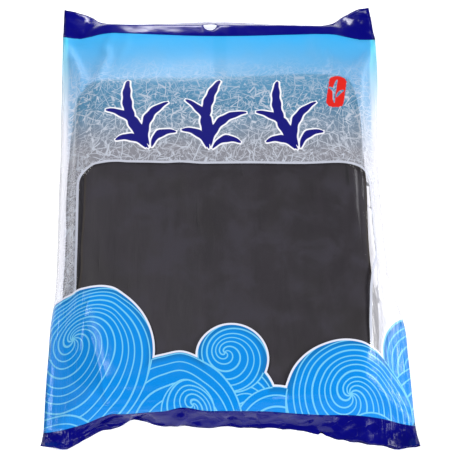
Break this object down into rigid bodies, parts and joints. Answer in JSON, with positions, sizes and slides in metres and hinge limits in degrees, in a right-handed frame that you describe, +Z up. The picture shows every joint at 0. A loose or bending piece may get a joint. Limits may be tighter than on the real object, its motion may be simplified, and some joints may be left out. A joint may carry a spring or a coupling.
{
  "type": "pack of dried kelp sheets",
  "caption": "Flat clear-film pillow pack of dark dried kelp sheets with a blue printed front, a wide top header with a hang hole and a crimped bottom fin.",
  "frame": {"origin": "under the middle of the box around the pack, on the surface that it lies on", "axes": "+X to the right as the printed front is read, +Y towards the header with the hang hole, +Z up out of the printed front"},
  "size_m": [0.3, 0.4322, 0.035],
  "materials": {
    "printed_film": "gloss clear film, printed in blue, navy and white",
    "dried_kelp": "matt, leathery and wrinkled, near black with brown edges"
  },
  "bodies": {
    "root": {"kelp_pack": "printed_film"}
  },
  "joints": []
}
